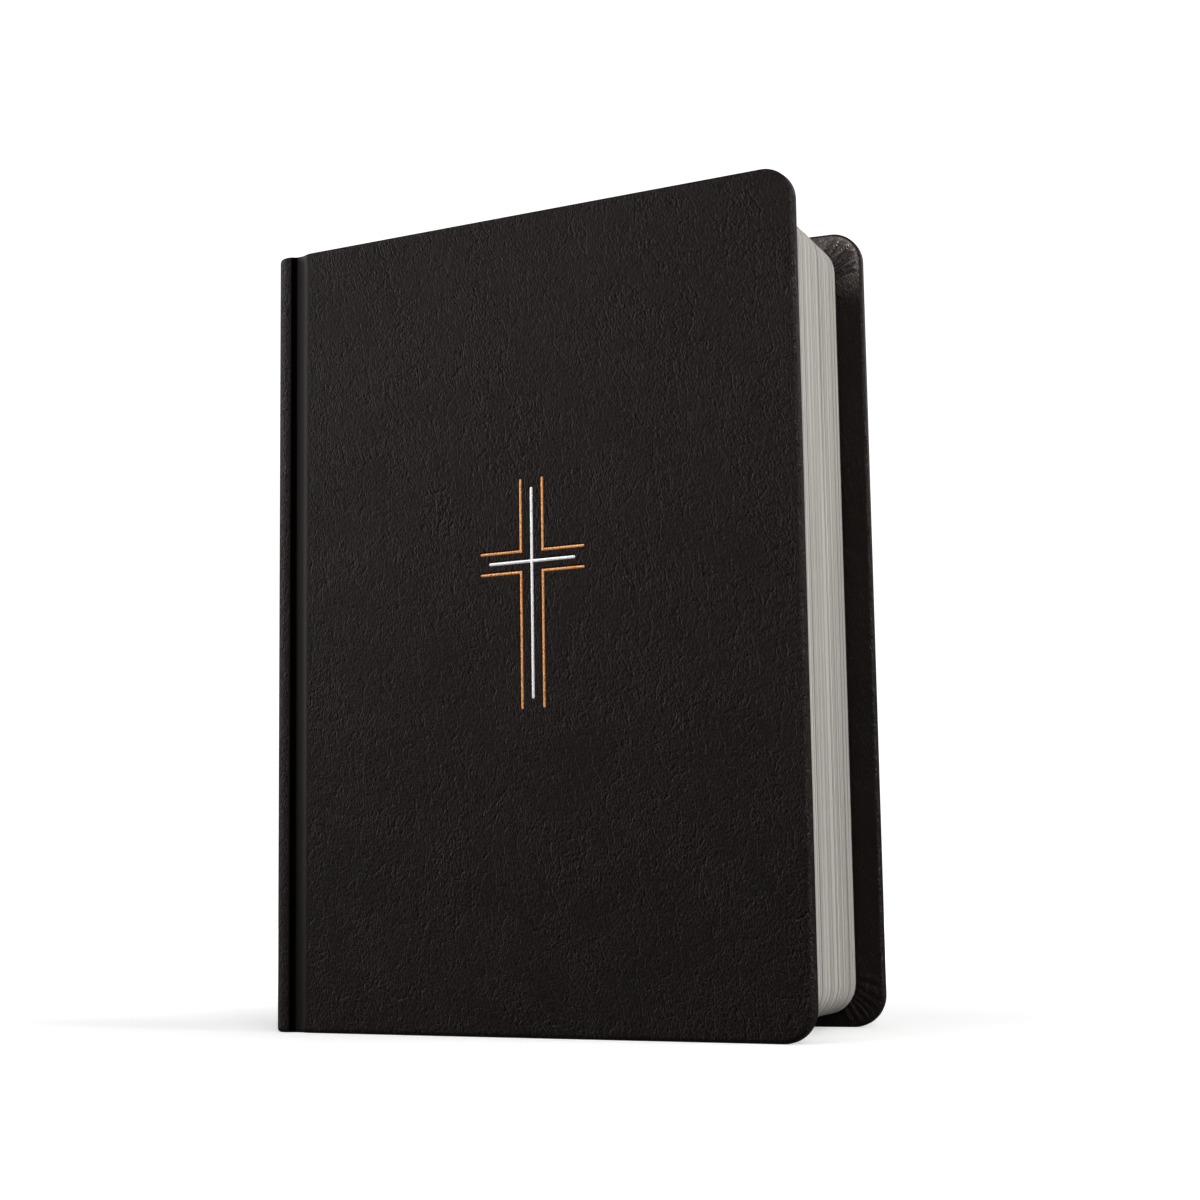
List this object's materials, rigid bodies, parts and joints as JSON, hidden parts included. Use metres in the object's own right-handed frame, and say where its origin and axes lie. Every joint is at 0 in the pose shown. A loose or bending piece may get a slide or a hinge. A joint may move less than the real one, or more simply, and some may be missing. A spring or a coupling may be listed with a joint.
{
  "type": "bible",
  "caption": "Large leather-covered bible standing ajar: hinged cloth-lined boards, rounded page corners, sewn leaf sections and a pressed foil cross.",
  "frame": {"origin": "middle of the bottom of the standing book's box, on the surface it stands on", "axes": "+X from spine to fore-edge along the leaves, +Y from front cover to back cover, +Z from tail to head"},
  "size_m": [0.1796, 0.0738, 0.24],
  "materials": {
    "black_leather": "fine crossed grain, semi-matte near-black leather",
    "board": "grey-brown pressed binder's board, matte",
    "black_endpaper": "black matte paper",
    "page_paper": "thin off-white bible paper, matte, with fine leaf edges",
    "lining_cloth": "open-weave binding cloth",
    "band_cloth": "woven striped band",
    "thread": "waxed sewing thread",
    "silver_foil": "bright silver foil, pressed into the leather",
    "copper_foil": "sparkling copper foil, pressed into the leather"
  },
  "bodies": {
    "spine_and_block": {"spine_leather": "black_leather", "spine_stiffener": "board", "front_joint_leather": "black_leather", "back_joint_leather": "black_leather", "spine_lining": "lining_cloth", "head_band": "band_cloth", "tail_band": "band_cloth", "stitch_row_1": "thread", "stitch_row_2": "thread", "stitch_row_3": "thread", "stitch_row_4": "thread", "stitch_row_5": "thread", "section_12": "page_paper", "section_13": "page_paper", "section_14": "page_paper", "section_15": "page_paper", "section_16": "page_paper", "section_17": "page_paper", "section_18": "page_paper", "front_roots": "page_paper", "back_roots": "page_paper"},
    "front_cover": {"front_cover_leather": "black_leather", "front_board": "board", "front_pastedown": "black_endpaper", "foil_cross": "silver_foil", "foil_upper_left": "copper_foil", "foil_upper_right": "copper_foil", "foil_lower_left": "copper_foil", "foil_lower_right": "copper_foil"},
    "back_cover": {"back_cover_leather": "black_leather", "back_board": "board", "back_pastedown": "black_endpaper"},
    "front_flyleaf": {"front_flyleaf": "black_endpaper"},
    "section_01_leaves": {"section_01": "page_paper"},
    "section_02_leaves": {"section_02": "page_paper"},
    "section_03_leaves": {"section_03": "page_paper"},
    "section_04_leaves": {"section_04": "page_paper"},
    "section_05_leaves": {"section_05": "page_paper"},
    "section_06_leaves": {"section_06": "page_paper"},
    "section_07_leaves": {"section_07": "page_paper"},
    "section_08_leaves": {"section_08": "page_paper"},
    "section_09_leaves": {"section_09": "page_paper"},
    "section_10_leaves": {"section_10": "page_paper"},
    "section_11_leaves": {"section_11": "page_paper"},
    "section_24_leaves": {"section_24": "page_paper"},
    "section_23_leaves": {"section_23": "page_paper"},
    "section_22_leaves": {"section_22": "page_paper"},
    "section_21_leaves": {"section_21": "page_paper"},
    "section_20_leaves": {"section_20": "page_paper"},
    "section_19_leaves": {"section_19": "page_paper"},
    "back_flyleaf": {"back_flyleaf": "black_endpaper"}
  },
  "joints": [
    {"name": "front_cover_hinge", "type": "hinge", "parent": "spine_and_block", "child": "front_cover", "pos_m": [-0.07794, -0.01446, 0], "axis": [0, 0, -1], "range_deg": [-7.5, 152.5]},
    {"name": "back_cover_hinge", "type": "hinge", "parent": "spine_and_block", "child": "back_cover", "pos_m": [-0.07794, 0.03634, 0], "axis": [0, 0, 1], "range_deg": [0, 160]},
    {"name": "front_flyleaf_turn", "type": "hinge", "parent": "spine_and_block", "child": "front_flyleaf", "pos_m": [-0.07273, -0.01027, 0], "axis": [0, 0, -1], "range_deg": [-4.7, 85.9]},
    {"name": "section_01_turn", "type": "hinge", "parent": "spine_and_block", "child": "section_01_leaves", "pos_m": [-0.07273, -0.00912, 0], "axis": [0, 0, -1], "range_deg": [-4.1, 73.7]},
    {"name": "section_02_turn", "type": "hinge", "parent": "spine_and_block", "child": "section_02_leaves", "pos_m": [-0.07273, -0.00738, 0], "axis": [0, 0, -1], "range_deg": [-3.5, 61.5]},
    {"name": "section_03_turn", "type": "hinge", "parent": "spine_and_block", "child": "section_03_leaves", "pos_m": [-0.07273, -0.00564, 0], "axis": [0, 0, -1], "range_deg": [-2.9, 49.3]},
    {"name": "section_04_turn", "type": "hinge", "parent": "spine_and_block", "child": "section_04_leaves", "pos_m": [-0.07273, -0.00389, 0], "axis": [0, 0, -1], "range_deg": [-2.38, 38.62]},
    {"name": "section_05_turn", "type": "hinge", "parent": "spine_and_block", "child": "section_05_leaves", "pos_m": [-0.07273, -0.00215, 0], "axis": [0, 0, -1], "range_deg": [-1.93, 29.48]},
    {"name": "section_06_turn", "type": "hinge", "parent": "spine_and_block", "child": "section_06_leaves", "pos_m": [-0.07273, -0.0004, 0], "axis": [0, 0, -1], "range_deg": [-1.55, 21.85]},
    {"name": "section_07_turn", "type": "hinge", "parent": "spine_and_block", "child": "section_07_leaves", "pos_m": [-0.07273, 0.00135, 0], "axis": [0, 0, -1], "range_deg": [-1.25, 15.75]},
    {"name": "section_08_turn", "type": "hinge", "parent": "spine_and_block", "child": "section_08_leaves", "pos_m": [-0.07273, 0.00309, 0], "axis": [0, 0, -1], "range_deg": [-1.02, 11.18]},
    {"name": "section_09_turn", "type": "hinge", "parent": "spine_and_block", "child": "section_09_leaves", "pos_m": [-0.07273, 0.00483, 0], "axis": [0, 0, -1], "range_deg": [-0.84, 7.36]},
    {"name": "section_10_turn", "type": "hinge", "parent": "spine_and_block", "child": "section_10_leaves", "pos_m": [-0.07273, 0.00658, 0], "axis": [0, 0, -1], "range_deg": [-0.69, 4.31]},
    {"name": "section_11_turn", "type": "hinge", "parent": "spine_and_block", "child": "section_11_leaves", "pos_m": [-0.07273, 0.00833, 0], "axis": [0, 0, -1], "range_deg": [-0.57, 2.02]},
    {"name": "section_24_turn", "type": "hinge", "parent": "spine_and_block", "child": "section_24_leaves", "pos_m": [-0.07273, 0.03101, 0], "axis": [0, 0, 1], "range_deg": [-0.5, 75.7]},
    {"name": "section_23_turn", "type": "hinge", "parent": "spine_and_block", "child": "section_23_leaves", "pos_m": [-0.07273, 0.02926, 0], "axis": [0, 0, 1], "range_deg": [-0.5, 61.3]},
    {"name": "section_22_turn", "type": "hinge", "parent": "spine_and_block", "child": "section_22_leaves", "pos_m": [-0.07273, 0.02752, 0], "axis": [0, 0, 1], "range_deg": [-0.5, 45.3]},
    {"name": "section_21_turn", "type": "hinge", "parent": "spine_and_block", "child": "section_21_leaves", "pos_m": [-0.07273, 0.02577, 0], "axis": [0, 0, 1], "range_deg": [-0.5, 30.9]},
    {"name": "section_20_turn", "type": "hinge", "parent": "spine_and_block", "child": "section_20_leaves", "pos_m": [-0.07273, 0.02403, 0], "axis": [0, 0, 1], "range_deg": [-0.5, 18.1]},
    {"name": "section_19_turn", "type": "hinge", "parent": "spine_and_block", "child": "section_19_leaves", "pos_m": [-0.07273, 0.02228, 0], "axis": [0, 0, 1], "range_deg": [-0.5, 8.5]},
    {"name": "back_flyleaf_turn", "type": "hinge", "parent": "spine_and_block", "child": "back_flyleaf", "pos_m": [-0.07273, 0.03215, 0], "axis": [0, 0, 1], "range_deg": [-0.5, 90.1]}
  ],
  "couplings": [
    {"joint": "front_flyleaf_turn", "follows": "front_cover_hinge", "ratio": 0.56},
    {"joint": "section_01_turn", "follows": "front_cover_hinge", "ratio": 0.48},
    {"joint": "section_02_turn", "follows": "front_cover_hinge", "ratio": 0.4},
    {"joint": "section_03_turn", "follows": "front_cover_hinge", "ratio": 0.32},
    {"joint": "section_04_turn", "follows": "front_cover_hinge", "ratio": 0.25},
    {"joint": "section_05_turn", "follows": "front_cover_hinge", "ratio": 0.19},
    {"joint": "section_06_turn", "follows": "front_cover_hinge", "ratio": 0.14},
    {"joint": "section_07_turn", "follows": "front_cover_hinge", "ratio": 0.1},
    {"joint": "section_08_turn", "follows": "front_cover_hinge", "ratio": 0.07},
    {"joint": "section_09_turn", "follows": "front_cover_hinge", "ratio": 0.045},
    {"joint": "section_10_turn", "follows": "front_cover_hinge", "ratio": 0.025},
    {"joint": "section_11_turn", "follows": "front_cover_hinge", "ratio": 0.01},
    {"joint": "section_24_turn", "follows": "back_cover_hinge", "ratio": 0.47},
    {"joint": "section_23_turn", "follows": "back_cover_hinge", "ratio": 0.38},
    {"joint": "section_22_turn", "follows": "back_cover_hinge", "ratio": 0.28},
    {"joint": "section_21_turn", "follows": "back_cover_hinge", "ratio": 0.19},
    {"joint": "section_20_turn", "follows": "back_cover_hinge", "ratio": 0.11},
    {"joint": "section_19_turn", "follows": "back_cover_hinge", "ratio": 0.05},
    {"joint": "back_flyleaf_turn", "follows": "back_cover_hinge", "ratio": 0.56}
  ]
}
